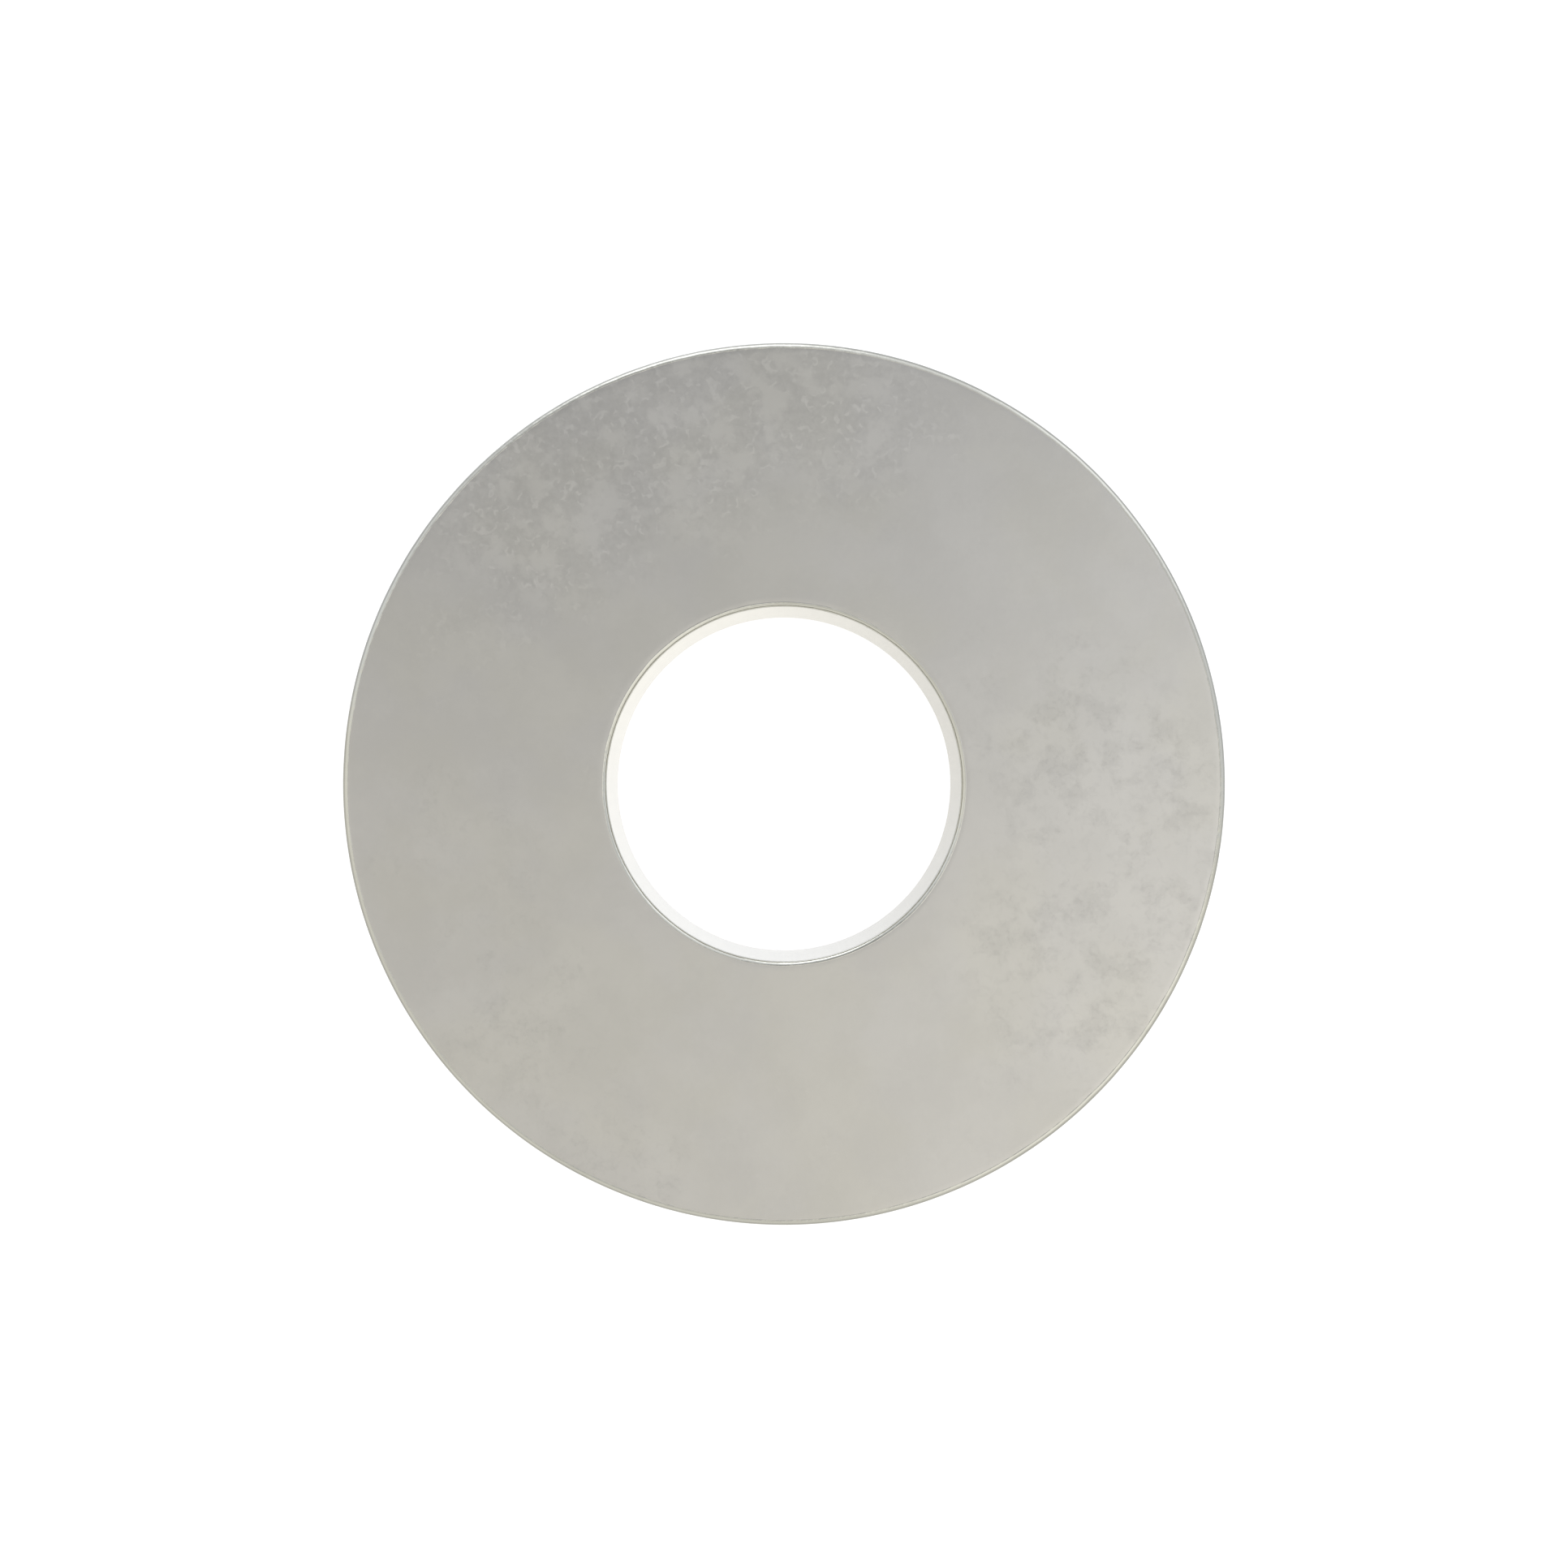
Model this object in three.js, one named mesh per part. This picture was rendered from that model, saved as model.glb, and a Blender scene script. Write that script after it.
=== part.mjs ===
// Flat washer for an M8 bolt, in the thick, heavy pattern used under highly loaded nuts and bolt heads.
// It is one plain steel ring: two flat bearing faces, a straight bore and a straight rim.
// All four edges are rounded, the rim's a little more than the bore's.
//
// Millimetres, +Z up. The bolt's axis is Z, and the lower bearing face lies on Z = 0.

import * as THREE from 'three';

// Driving dimensions.
const OUTSIDE_DIAMETER = 21;
const BORE_DIAMETER = 8.44;
const THICKNESS = 4;
const RIM_EDGE_RADIUS = 0.16;
const BORE_EDGE_RADIUS = 0.12;

// How finely the round shapes are divided.
const STEPS_AROUND = 120;
const ARC_DIVISIONS = 2; // a quarter-round edge is drawn with twice this many straight steps

const RIGHT_ANGLE = Math.PI / 2;

function steel() {
	return new THREE.MeshStandardMaterial( { color: 0xb8b6b0, roughness: 0.36, metalness: 1 } );
}

// The ring's closed cross-section, x being the distance from the axis and y the height.
// It runs anticlockwise from the rim's lower edge, each arc being one rounded edge.
function ringSection() {
	const rimCentre = OUTSIDE_DIAMETER / 2 - RIM_EDGE_RADIUS;
	const boreCentre = BORE_DIAMETER / 2 + BORE_EDGE_RADIUS;
	const rimTop = THICKNESS - RIM_EDGE_RADIUS;
	const boreTop = THICKNESS - BORE_EDGE_RADIUS;

	const section = new THREE.Shape();
	section.absarc( rimCentre, RIM_EDGE_RADIUS, RIM_EDGE_RADIUS, - RIGHT_ANGLE, 0 );
	section.absarc( rimCentre, rimTop, RIM_EDGE_RADIUS, 0, RIGHT_ANGLE );
	section.absarc( boreCentre, boreTop, BORE_EDGE_RADIUS, RIGHT_ANGLE, 2 * RIGHT_ANGLE );
	section.absarc( boreCentre, BORE_EDGE_RADIUS, BORE_EDGE_RADIUS, 2 * RIGHT_ANGLE, 3 * RIGHT_ANGLE );
	section.closePath();
	return section.getPoints( ARC_DIVISIONS );
}

// The section turned once around the bolt's axis.
function flatWasher() {
	const ring = new THREE.Mesh( new THREE.LatheGeometry( ringSection(), STEPS_AROUND ), steel() );
	ring.name = 'flat_washer';
	ring.rotation.x = RIGHT_ANGLE; // a lathe turns around Y, and the bolt's axis is Z
	return ring;
}

const part = new THREE.Group();
part.add( flatWasher() );

export default part;
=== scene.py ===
"""Looks for the flat washer: a finely divided steel ring with a satin, mottled steel material.

Metres, +Z up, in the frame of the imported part: the bolt's axis is Z and the washer lies on Z = 0.
A bearing is an angle in degrees clockwise from +X, as seen from above.
"""

import math

import bmesh
import bpy
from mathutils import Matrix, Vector, noise


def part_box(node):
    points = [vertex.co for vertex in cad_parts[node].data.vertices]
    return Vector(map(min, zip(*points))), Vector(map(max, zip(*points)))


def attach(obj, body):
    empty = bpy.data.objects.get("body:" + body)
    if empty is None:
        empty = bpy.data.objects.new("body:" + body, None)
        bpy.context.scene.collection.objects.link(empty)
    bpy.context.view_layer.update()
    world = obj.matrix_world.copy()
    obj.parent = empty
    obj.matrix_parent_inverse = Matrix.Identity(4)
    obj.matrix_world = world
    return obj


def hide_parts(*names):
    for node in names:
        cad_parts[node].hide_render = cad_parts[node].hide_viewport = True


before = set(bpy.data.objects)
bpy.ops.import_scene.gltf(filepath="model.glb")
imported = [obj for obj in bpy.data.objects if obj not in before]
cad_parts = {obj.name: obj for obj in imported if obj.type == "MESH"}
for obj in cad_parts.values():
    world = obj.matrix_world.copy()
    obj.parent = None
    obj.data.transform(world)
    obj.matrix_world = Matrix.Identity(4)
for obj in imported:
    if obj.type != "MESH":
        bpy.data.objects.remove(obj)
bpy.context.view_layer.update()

MM = 0.001

# How close to the smallest or the largest radius a packed point has to be to lie on that wall.
ON_WALL = 0.001 * MM

# Camera: straight above the bore, with +Y up in the picture.
CAMERA_LENS = 55
CAMERA_HEIGHT = 56.9 * MM  # above the upper face
CAMERA_NEAR = 1 * MM
CAMERA_FAR = 3

# How finely the ring is divided.
STEPS_AROUND = 1200
STEPS_PER_EDGE = 10
STEPS_ACROSS_FACE = 12
STEPS_UP_WALL = 8

# Tumbling wears the edges a little unevenly.
EDGE_WEAR_DEPTH = 0.012 * MM
EDGE_WEAR_LENGTH = 0.45 * MM

# The steel's colour on the faces, where it runs from cool to warm, on the edges and on the walls.
COOL_STEEL = (0.600, 0.586, 0.550)
WARM_STEEL = (0.602, 0.587, 0.540)
EDGE_STEEL = (0.590, 0.586, 0.528)
WALL_STEEL = (0.608, 0.590, 0.518)

# How rough the faces are, from smooth to rough, and the edges and walls.
SMOOTH = 0.30
ROUGH = 0.34
EDGE_ROUGHNESS = 0.15
WALL_ROUGHNESS = 0.2

# How level the surface is, 1 for a face and 0 for a wall, where an edge, the rim's painted shade and
# a wall each begin and where each is full. The painted shade is a dark outline on the rim's wall that
# stands in for the washer's own shadow on the floor as the rim's wall would mirror it. Only what is
# further out than RIM_BEGINS is the rim's.
EDGE_FACING = (0.999, 0.975)
RIM_FACING = (0.92, 0.65)
WALL_FACING = (0.25, 0.05)
RIM_BEGINS = 8 * MM

# The noises in the steel: the size of the largest features, how many finer layers they have, and
# how strong each layer is beside the one before it.
CLOUD_NOISE = (2.4 * MM, 9, 0.68)
WARMTH_NOISE = (3.0 * MM, 6, 0.5)
PLACE_NOISE = (1.3 * MM, 6, 0.65)
PATCH_NOISE = (0.7 * MM, 7, 0.68)
GRAIN_NOISE = (0.16 * MM, 2, 0.6)
STROKE_NOISE = (0.32 * MM, 1, 0.5)
STROKE_BREAK_NOISE = (0.22 * MM, 1, 0.5)
STREAK_NOISE = (0.2 * MM, 5, 0.7)
NICK_NOISE = (0.25 * MM, 2, 0.5)

# What part of a noise's height makes a pattern: where the pattern begins and where it is full.
CLOUD_HEIGHTS = (0.36, 0.64)
WARMTH_HEIGHTS = (0.4, 0.6)
PATCH_HEIGHTS = (0.46, 0.62)
GRAIN_HEIGHTS = (0.34, 0.66)
STROKE_HEIGHTS = (0.085, 0.02)  # on either side of the middle height
STROKE_BREAK_HEIGHTS = (0.49, 0.6)
STREAK_HEIGHTS = (0.3, 0.7)

# How patterns are torn: the size of the tears and how far they push, then what every tear has,
# its finer layers and their strength.
PLACE_TEARS = (1.6 * MM, 1.4 * MM)
PATCH_TEARS = (0.5 * MM, 0.35 * MM)
GRAIN_TEARS = (0.14 * MM, 0.09 * MM)
TEAR_LAYERS = (3, 0.5)

# Where the faces are scuffed and where they are stained: bearing, then distance from the axis
# and radius in millimetres, then strength. Wear shows where the strengths add up enough.
# The scuffed places lie where the faces mirror the dome's darker side and the stained places where they
# mirror its brighter side, so that their patches carry painted sheen and painted shade as well as wear.
SCUFFED_PLACES = (
    (252, 9.2, 4.4, 0.9),
    (232, 9.0, 4.0, 0.7),
    (212, 8.4, 3.4, 0.2),
    (280, 9.0, 3.6, 0.5),
)
STAINED_PLACES = (
    (6, 8.4, 4.6, 0.6),
    (32, 8.4, 4.6, 0.6),
    (348, 6.6, 4.4, 0.28),
    (138, 8.6, 4.2, 0.38),
    (112, 9.8, 2.4, 0.45),
    (172, 7.6, 3.6, 0.25),
)
WEAR_BEGINS = -0.02
WEAR_IS_FULL = 0.5

# How much each mark lightens or darkens the steel, as a share of its own colour.
CLOUD_TONE = 0.023
SCUFF_GRAIN = 0.03
SCUFF_STROKES = 0.12
SCUFF_DULLING = 0.04
# Partly painted sheen: the scuffed places' patches are lighter, as rougher steel looks where the dome
# is dark.
SCUFF_PATCH_TONE_AND_SHEEN = 0.018
STAIN_SPECKS = 0.06
# Partly painted shade: the stained places' patches are darker, as rougher steel looks where the dome is
# bright.
STAIN_DULLING_AND_SHADE = 0.036
STAIN_STROKES = 0.035
STAIN_GROUND_TONE = 0.028
STREAK_TONE = 0.03
# Painted shade on the rim's wall: a dark outline standing in for the washer's shadow on the floor seen
# in it.
RIM_PAINTED_SHADE = 0.31

# How high the marks stand.
FACE_RELIEF = 0.00012 * MM
EDGE_RELIEF = 0.012 * MM
STREAK_RELIEF = 0.0012 * MM

# A wall's streaks are a noise drawn out upwards: its width as a share of its height.
STREAK_SLENDERNESS = 0.06

# The studio's dome: its even light above and below the horizon, and the tints of its two sides.
LIGHT_ABOVE = 0.76
LIGHT_BELOW = 0.93
HORIZON_SOFTNESS = 0.15
COOL_BEARING = 279
COOL_LIGHT = (0.978, 0.998, 1.05)
WARM_LIGHT = (1.015, 1.0, 0.965)
TINT_RANGE = (-0.1, 0.2)  # how far towards the cool bearing the tint changes over

# The glow right round the horizon: its height and half width in degrees, and the light it adds.
HORIZON_GLOW = (14, 36, 0.24)

# Soft patches of the dome: bearing, height above the horizon and half width in degrees, and
# how much light they add.
DOME_PATCHES = (
    (19, 70, 24, 0.32),
    (251, 68, 24, -0.35),
    (45, 46, 34, 0.46),
    (202, 34, 36, 0.12),
    (247, 34, 36, -0.14),
    (292, 34, 36, 0.22),
    (175, 52, 30, 0.14),
    (258, 10, 28, 1.35),
    (318, 14, 26, 0.44),
    (250, -38, 30, 0.30),
    (170, -72, 24, -0.35),
    (0, -90, 12, 0.46),
)

# The floor: half its width in metres, its own brightness, and how much it glows.
FLOOR_HALF_WIDTH = 1.2
FLOOR_WHITE = 0.4
FLOOR_GLOW = 0.85


# ---------------------------------------------------------------- new objects and materials


def add_object(name, mesh):
    """A new object in the scene, made from a bmesh, which is freed."""
    data = bpy.data.meshes.new(name)
    mesh.to_mesh(data)
    mesh.free()
    added = bpy.data.objects.new(name, data)
    bpy.context.scene.collection.objects.link(added)
    return added


def new_material(name):
    """A material with nodes."""
    material = bpy.data.materials.new(name)
    material.use_nodes = True
    return material


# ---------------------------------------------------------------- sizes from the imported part


def washer_sizes():
    """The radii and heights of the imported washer, and how far each of its edges is rounded."""
    points = [vertex.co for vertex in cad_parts["flat_washer"].data.vertices]
    distances = [math.hypot(point.x, point.y) for point in points]
    bore_radius = min(distances)
    rim_radius = max(distances)
    bore_wall = [p.z for p, d in zip(points, distances) if d < bore_radius + ON_WALL]
    rim_wall = [p.z for p, d in zip(points, distances) if d > rim_radius - ON_WALL]
    low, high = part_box("flat_washer")
    return {
        "bore_radius": bore_radius,
        "rim_radius": rim_radius,
        "low": low.z,
        "high": high.z,
        "bore_edge": min(bore_wall) - low.z,
        "rim_edge": min(rim_wall) - low.z,
    }


# ---------------------------------------------------------------- the ring


def between(start, end, steps):
    """Points from start up to, but not including, end, closer together near both."""
    return [start.lerp(end, (1 - math.cos(math.pi * i / steps)) / 2) for i in range(steps)]


def quarter_round(centre, radius, start_angle):
    """Points of a rounded edge, anticlockwise from start_angle, without its last point."""
    points = []
    for i in range(STEPS_PER_EDGE):
        angle = start_angle + math.pi / 2 * i / STEPS_PER_EDGE
        points.append(centre + Vector((math.cos(angle), math.sin(angle))) * radius)
    return points


def ring_section(sizes):
    """The closed cross-section as (distance from the axis, height), anticlockwise."""
    rim_edge = sizes["rim_edge"]
    bore_edge = sizes["bore_edge"]
    rim = sizes["rim_radius"] - rim_edge
    bore = sizes["bore_radius"] + bore_edge
    low = sizes["low"]
    high = sizes["high"]
    corners = [
        (Vector((rim, low + rim_edge)), rim_edge),
        (Vector((rim, high - rim_edge)), rim_edge),
        (Vector((bore, high - bore_edge)), bore_edge),
        (Vector((bore, low + bore_edge)), bore_edge),
    ]
    outward = [Vector((1, 0)), Vector((0, 1)), Vector((-1, 0)), Vector((0, -1))]
    steps = [STEPS_UP_WALL, STEPS_ACROSS_FACE, STEPS_UP_WALL, STEPS_ACROSS_FACE]
    section = []
    for i, (centre, radius) in enumerate(corners):
        next_centre, next_radius = corners[(i + 1) % len(corners)]
        section += quarter_round(centre, radius, math.pi / 2 * (i - 1))
        start = centre + outward[i] * radius
        end = next_centre + outward[i] * next_radius
        section += between(start, end, steps[i])
    return section


def edge_wear(point, sizes):
    """How far tumbling has pushed a point of a rounded edge in towards the metal."""
    distance = math.hypot(point.x, point.y)
    from_bore = distance - sizes["bore_radius"]
    from_rim = sizes["rim_radius"] - distance
    edge = sizes["bore_edge"] if from_bore < from_rim else sizes["rim_edge"]
    from_wall = min(from_bore, from_rim)
    from_face = min(point.z - sizes["low"], sizes["high"] - point.z)
    on_edge = max(0.0, 1 - from_wall / edge) * max(0.0, 1 - from_face / edge)
    return EDGE_WEAR_DEPTH * on_edge * max(0.0, noise.noise(point / EDGE_WEAR_LENGTH))


def turned(section):
    """A mesh of quads: the section turned once around the bolt's axis."""
    mesh = bmesh.new()
    loops = []
    for i in range(STEPS_AROUND):
        angle = 2 * math.pi * i / STEPS_AROUND
        out = Vector((math.cos(angle), math.sin(angle), 0))
        points = [out * distance + Vector((0, 0, height)) for distance, height in section]
        loops.append([mesh.verts.new(point) for point in points])
    for i, loop in enumerate(loops):
        following = loops[(i + 1) % STEPS_AROUND]
        for j in range(len(section)):
            k = (j + 1) % len(section)
            mesh.faces.new((loop[j], following[j], following[k], loop[k])).smooth = True
    return mesh


def add_ring(sizes):
    """The washer as one closed mesh, with its edges worn."""
    mesh = turned(ring_section(sizes))
    mesh.normal_update()
    for vertex in mesh.verts:
        vertex.co -= vertex.normal * edge_wear(vertex.co, sizes)
    ring = add_object("washer_ring", mesh)
    flat_shading = ring.modifiers.new("keep flats flat", "WEIGHTED_NORMAL")
    flat_shading.weight = 100
    return ring


# ---------------------------------------------------------------- node helpers


def add_node(tree, kind, **settings):
    """A new node with its settings made."""
    node = tree.nodes.new(kind)
    for name, value in settings.items():
        setattr(node, name, value)
    return node


def feed(tree, socket, value):
    """Sets an input to a plain value, or links it to another node's output."""
    if isinstance(value, bpy.types.NodeSocket):
        tree.links.new(value, socket)
    else:
        socket.default_value = value


def calculate(tree, operation, first, second=0.0):
    """The output of a Math node."""
    node = add_node(tree, "ShaderNodeMath", operation=operation)
    feed(tree, node.inputs[0], first)
    feed(tree, node.inputs[1], second)
    return node.outputs[0]


def plus(tree, *values):
    """The sum of two values or more."""
    total = values[0]
    for value in values[1:]:
        total = calculate(tree, "ADD", total, value)
    return total


def times(tree, first, second):
    """One value times another."""
    return calculate(tree, "MULTIPLY", first, second)


def combine(tree, operation, first, second):
    """The output of a Vector Math node that takes two vectors."""
    node = add_node(tree, "ShaderNodeVectorMath", operation=operation)
    feed(tree, node.inputs[0], first)
    feed(tree, node.inputs[1], second)
    return node.outputs["Value"] if operation in ("DISTANCE", "DOT_PRODUCT") else node.outputs["Vector"]


def scaled(tree, vector, factor):
    """A vector or colour times a number."""
    node = add_node(tree, "ShaderNodeVectorMath", operation="SCALE")
    feed(tree, node.inputs[0], vector)
    feed(tree, node.inputs["Scale"], factor)
    return node.outputs["Vector"]


def remap(tree, value, start, end, to_start=0.0, to_end=1.0):
    """A value moved smoothly from the range start..end to the range to_start..to_end."""
    node = add_node(tree, "ShaderNodeMapRange", interpolation_type="SMOOTHSTEP")
    feed(tree, node.inputs["Value"], value)
    feed(tree, node.inputs["From Min"], start)
    feed(tree, node.inputs["From Max"], end)
    feed(tree, node.inputs["To Min"], to_start)
    feed(tree, node.inputs["To Max"], to_end)
    return node.outputs["Result"]


def mix(tree, share, without, with_all):
    """A value that goes from one to another as the share goes from 0 to 1."""
    node = add_node(tree, "ShaderNodeMix", data_type="FLOAT")
    feed(tree, node.inputs["Factor"], share)
    feed(tree, node.inputs["A"], without)
    feed(tree, node.inputs["B"], with_all)
    return node.outputs["Result"]


def mix_colours(tree, share, without, with_all):
    """A colour that goes from one to another as the share goes from 0 to 1."""
    difference = combine(tree, "SUBTRACT", with_all, without)
    return combine(tree, "ADD", without, scaled(tree, difference, share))


def noise_node(tree, position, size, layers, strength):
    """Noise whose largest features are about size across, in metres."""
    node = add_node(tree, "ShaderNodeTexNoise")
    feed(tree, node.inputs["Vector"], position)
    feed(tree, node.inputs["Scale"], 1 / size)
    feed(tree, node.inputs["Detail"], layers)
    feed(tree, node.inputs["Roughness"], strength)
    return node


def noise_height(tree, position, kind):
    """The height of one kind of noise, about 0.5 on average."""
    return noise_node(tree, position, *kind).outputs["Fac"]


def torn(tree, position, tears):
    """A position pushed about by noise, which tears the outlines of patterns that read it."""
    size, reach = tears
    push = noise_node(tree, position, size, *TEAR_LAYERS).outputs["Color"]
    centred = combine(tree, "SUBTRACT", push, (0.5, 0.5, 0.5))
    return combine(tree, "ADD", position, scaled(tree, centred, reach))


# ---------------------------------------------------------------- satin steel


def compass(bearing, height=0.0):
    """The direction at a bearing and a height above the horizon, both in degrees."""
    turn = math.radians(bearing)
    rise = math.radians(height)
    return Vector((math.cos(turn) * math.cos(rise), -math.sin(turn) * math.cos(rise), math.sin(rise)))


def level_part(tree, position):
    """A position dropped onto the plane of the lower face."""
    return combine(tree, "MULTIPLY", position, (1, 1, 0))


def worn_places(tree, position, places):
    """How strongly a kind of wear shows, from 0 to 1: ragged places, the same on both faces."""
    level = level_part(tree, torn(tree, position, PLACE_TEARS))
    strength = plus(tree, noise_height(tree, position, PLACE_NOISE), -0.5)
    for bearing, distance, radius, amount in places:
        away = combine(tree, "DISTANCE", level, compass(bearing) * distance * MM)
        strength = plus(tree, strength, remap(tree, away, radius * MM, 0.0, 0.0, amount))
    return remap(tree, strength, WEAR_BEGINS, WEAR_IS_FULL)


def cloud_pattern(tree, position):
    """Broad, soft clouds, from -1 to 1."""
    moved = torn(tree, position, PATCH_TEARS)
    return remap(tree, noise_height(tree, moved, CLOUD_NOISE), *CLOUD_HEIGHTS, -1.0, 1.0)


def patch_pattern(tree, position):
    """Ragged patches under a millimetre across, from 0 between them to 1 within."""
    moved = torn(tree, position, PATCH_TEARS)
    return remap(tree, noise_height(tree, moved, PATCH_NOISE), *PATCH_HEIGHTS)


def grain_pattern(tree, position):
    """Fine, sharp grain, from -1 to 1."""
    moved = torn(tree, position, GRAIN_TEARS)
    return remap(tree, noise_height(tree, moved, GRAIN_NOISE), *GRAIN_HEIGHTS, -1.0, 1.0)


def stroke_pattern(tree, position):
    """Short, curved strokes: pieces of the middle contour of a noise."""
    moved = torn(tree, position, GRAIN_TEARS)
    height = plus(tree, noise_height(tree, moved, STROKE_NOISE), -0.5)
    contour = remap(tree, calculate(tree, "ABSOLUTE", height), *STROKE_HEIGHTS)
    pieces = remap(tree, noise_height(tree, position, STROKE_BREAK_NOISE), *STROKE_BREAK_HEIGHTS)
    return times(tree, contour, pieces)


def streak_pattern(tree, position):
    """Fine upright streaks, as a press leaves on the walls, from -1 to 1."""
    squeezed = combine(tree, "MULTIPLY", position, (1, 1, STREAK_SLENDERNESS))
    return remap(tree, noise_height(tree, squeezed, STREAK_NOISE), *STREAK_HEIGHTS, -1.0, 1.0)


def scuff_and_sheen_tone(tree, grain, strokes, patches):
    """How scuffing changes the steel's tone: a duller ground, pale flecks, and smooth patches painted
    lighter as a painted sheen where the dome is dark.
    """
    flecks = plus(tree, times(tree, grain, SCUFF_GRAIN), times(tree, strokes, SCUFF_STROKES))
    ground = plus(tree, flecks, -SCUFF_DULLING)
    return mix(tree, patches, ground, SCUFF_PATCH_TONE_AND_SHEEN)


def stain_and_shade_tone(tree, grain, strokes, patches):
    """How staining changes the steel's tone: patches with specks, painted darker as painted shade where
    the dome is bright, on a paler ground.
    """
    dark_grain = calculate(tree, "MINIMUM", grain, 0.0)
    specks = plus(tree, times(tree, dark_grain, STAIN_SPECKS), -STAIN_DULLING_AND_SHADE)
    ground = plus(tree, times(tree, strokes, -STAIN_STROKES), STAIN_GROUND_TONE)
    return mix(tree, patches, ground, specks)


def painted_rim_shade_share(tree, position, facing):
    """From 0 on the faces and in the bore to 1 on the rim's wall, where shade is painted."""
    from_axis = combine(tree, "DISTANCE", level_part(tree, position), (0, 0, 0))
    outer = calculate(tree, "GREATER_THAN", from_axis, RIM_BEGINS)
    return times(tree, outer, remap(tree, facing, *RIM_FACING))


def steel_marks(tree, position, facing):
    """How far a point is an edge, a wall or the rim's, and the patterns that mark the steel."""
    edge = remap(tree, facing, *EDGE_FACING)
    wall = remap(tree, facing, *WALL_FACING)
    rounded_edge = calculate(tree, "SUBTRACT", edge, wall)
    return {
        "edge": edge,
        "wall": wall,
        # where shade is painted on the rim's wall
        "rim": painted_rim_shade_share(tree, position, facing),
        "scuffed": worn_places(tree, position, SCUFFED_PLACES),
        "stained": worn_places(tree, position, STAINED_PLACES),
        "clouds": cloud_pattern(tree, position),
        "patches": patch_pattern(tree, position),
        "grain": grain_pattern(tree, position),
        "strokes": stroke_pattern(tree, position),
        "streaks": times(tree, wall, streak_pattern(tree, position)),
        "nicks": times(tree, rounded_edge, noise_height(tree, position, NICK_NOISE)),
    }


def steel_colour(tree, position, marks):
    """The steel's colour before its marks: cool and warm clouds on the faces, plain elsewhere."""
    warmth = remap(tree, noise_height(tree, position, WARMTH_NOISE), *WARMTH_HEIGHTS)
    face = mix_colours(tree, warmth, COOL_STEEL, WARM_STEEL)
    face_and_edge = mix_colours(tree, marks["edge"], face, EDGE_STEEL)
    return mix_colours(tree, marks["wall"], face_and_edge, WALL_STEEL)


def steel_tone(tree, marks):
    """How far the marks and the shade painted on the rim's wall lighten or darken the steel, 1 being
    not at all.
    """
    patterns = marks["grain"], marks["strokes"], marks["patches"]
    return plus(
        tree,
        1.0,
        times(tree, marks["clouds"], CLOUD_TONE),
        # scuffs and stains, with painted sheen and painted shade in their patches
        times(tree, marks["scuffed"], scuff_and_sheen_tone(tree, *patterns)),
        times(tree, marks["stained"], stain_and_shade_tone(tree, *patterns)),
        times(tree, marks["streaks"], STREAK_TONE),
        # painted shade: the rim's wall darkened as if it mirrored the washer's shadow on the floor
        times(tree, marks["rim"], -RIM_PAINTED_SHADE),
    )


def steel_roughness(tree, marks):
    """How rough the steel is: worn patches a little more than the rest, edges and walls less."""
    worn = times(tree, marks["patches"], calculate(tree, "MAXIMUM", marks["scuffed"], marks["stained"]))
    face = mix(tree, worn, SMOOTH, ROUGH)
    face_and_edge = mix(tree, marks["edge"], face, EDGE_ROUGHNESS)
    return mix(tree, marks["wall"], face_and_edge, WALL_ROUGHNESS)


def steel_relief(tree, marks):
    """How high the steel stands, in metres: grain and strokes, nicked edges and streaked walls."""
    face = plus(tree, marks["grain"], times(tree, marks["scuffed"], marks["strokes"]))
    return plus(
        tree,
        times(tree, face, FACE_RELIEF),
        times(tree, marks["nicks"], EDGE_RELIEF),
        times(tree, marks["streaks"], STREAK_RELIEF),
    )


def steel_material():
    """Satin, tumbled steel: cloudy mottle, flecks, polished edges and streaked walls."""
    material = new_material("tumbled_steel")
    tree = material.node_tree
    coordinates = add_node(tree, "ShaderNodeTexCoord")
    position = coordinates.outputs["Object"]
    upward = combine(tree, "DOT_PRODUCT", coordinates.outputs["Normal"], (0, 0, 1))
    marks = steel_marks(tree, position, calculate(tree, "ABSOLUTE", upward))
    colour = scaled(tree, steel_colour(tree, position, marks), steel_tone(tree, marks))
    bump = add_node(tree, "ShaderNodeBump")
    feed(tree, bump.inputs["Distance"], 1.0)
    feed(tree, bump.inputs["Height"], steel_relief(tree, marks))

    shader = tree.nodes["Principled BSDF"]
    feed(tree, shader.inputs["Metallic"], 1.0)
    feed(tree, shader.inputs["Base Color"], colour)
    feed(tree, shader.inputs["Roughness"], steel_roughness(tree, marks))
    feed(tree, shader.inputs["Normal"], bump.outputs["Normal"])
    return material


# ---------------------------------------------------------------- floor, light and camera


def add_floor(height):
    """A plain white surface that glows like a light table, and that the steel doesn't mirror."""
    mesh = bmesh.new()
    bmesh.ops.create_grid(mesh, x_segments=1, y_segments=1, size=FLOOR_HALF_WIDTH)
    floor = add_object("floor", mesh)
    floor.location.z = height
    floor.visible_glossy = False
    material = new_material("floor_white")
    shader = material.node_tree.nodes["Principled BSDF"]
    shader.inputs["Base Color"].default_value = (FLOOR_WHITE, FLOOR_WHITE, FLOOR_WHITE, 1)
    shader.inputs["Roughness"].default_value = 1.0
    shader.inputs["Specular IOR Level"].default_value = 0.0
    shader.inputs["Emission Color"].default_value = (1, 1, 1, 1)
    shader.inputs["Emission Strength"].default_value = FLOOR_GLOW
    floor.data.materials.append(material)


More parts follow.
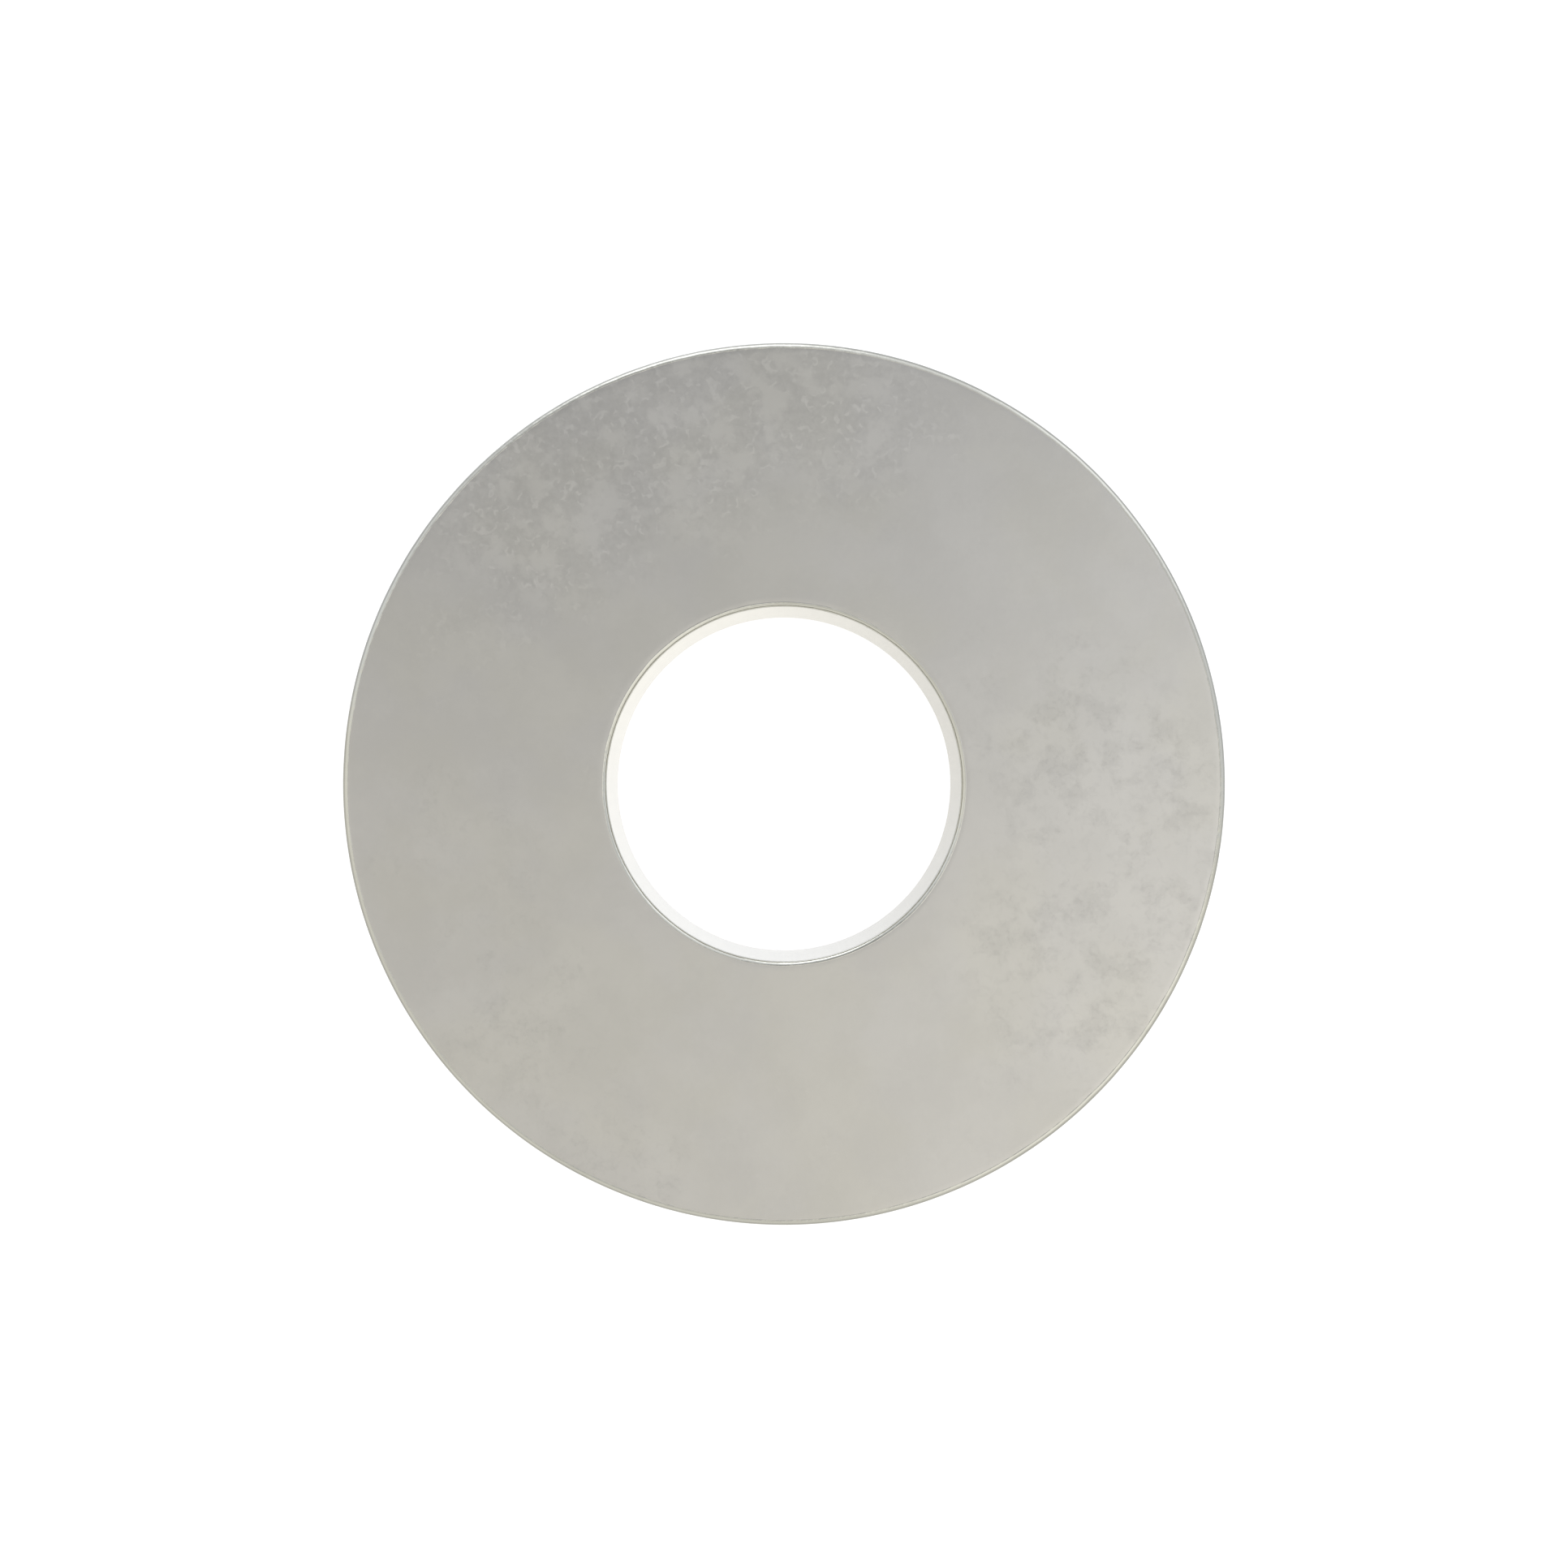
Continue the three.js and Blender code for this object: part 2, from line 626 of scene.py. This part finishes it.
def dome_patch(tree, direction, bearing, height, half_width, light):
    """Light that falls off smoothly from one direction of the dome."""
    alignment = combine(tree, "DOT_PRODUCT", direction, compass(bearing, height))
    edge = math.cos(math.radians(half_width))
    return remap(tree, alignment, edge, 1.0, 0.0, light)


def dome_band(tree, up, height, half_width, light):
    """Light that falls off smoothly from one height of the dome, right round it."""
    above = plus(tree, calculate(tree, "ARCSINE", up), -math.radians(height))
    away = calculate(tree, "ABSOLUTE", above)
    return remap(tree, away, math.radians(half_width), 0.0, 0.0, light)


def add_dome():
    """A pale studio dome, with soft brighter and darker patches for the steel to reflect."""
    world = bpy.data.worlds.new("studio")
    world.use_nodes = True
    bpy.context.scene.world = world
    tree = world.node_tree
    direction = add_node(tree, "ShaderNodeTexCoord").outputs["Generated"]
    across = combine(tree, "DOT_PRODUCT", direction, compass(COOL_BEARING))
    up = combine(tree, "DOT_PRODUCT", direction, (0, 0, 1))

    light = remap(tree, up, -HORIZON_SOFTNESS, HORIZON_SOFTNESS, LIGHT_BELOW, LIGHT_ABOVE)
    light = plus(tree, light, dome_band(tree, up, *HORIZON_GLOW))
    for patch in DOME_PATCHES:
        light = plus(tree, light, dome_patch(tree, direction, *patch))
    tint = mix_colours(tree, remap(tree, across, *TINT_RANGE), WARM_LIGHT, COOL_LIGHT)
    seen_by_steel = tree.nodes["Background"]
    feed(tree, seen_by_steel.inputs["Color"], tint)
    feed(tree, seen_by_steel.inputs["Strength"], light)

    backdrop = add_node(tree, "ShaderNodeBackground")
    feed(tree, backdrop.inputs["Color"], (1, 1, 1, 1))
    choice = add_node(tree, "ShaderNodeMixShader")
    feed(tree, choice.inputs[0], add_node(tree, "ShaderNodeLightPath").outputs["Is Camera Ray"])
    feed(tree, choice.inputs[1], seen_by_steel.outputs[0])
    feed(tree, choice.inputs[2], backdrop.outputs[0])
    feed(tree, tree.nodes["World Output"].inputs["Surface"], choice.outputs[0])


def add_camera(height):
    """A camera straight above the bolt's axis, looking down."""
    data = bpy.data.cameras.new("camera")
    data.lens = CAMERA_LENS
    data.clip_start = CAMERA_NEAR
    data.clip_end = CAMERA_FAR
    camera = bpy.data.objects.new("camera", data)
    camera.location = (0, 0, height)
    bpy.context.scene.collection.objects.link(camera)
    bpy.context.scene.camera = camera


sizes = washer_sizes()
ring = add_ring(sizes)
ring.data.materials.append(steel_material())
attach(ring, "root")
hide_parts("flat_washer")
add_floor(sizes["low"])
add_dome()
add_camera(sizes["high"] + CAMERA_HEIGHT)
bpy.context.scene.view_settings.view_transform = "Standard"
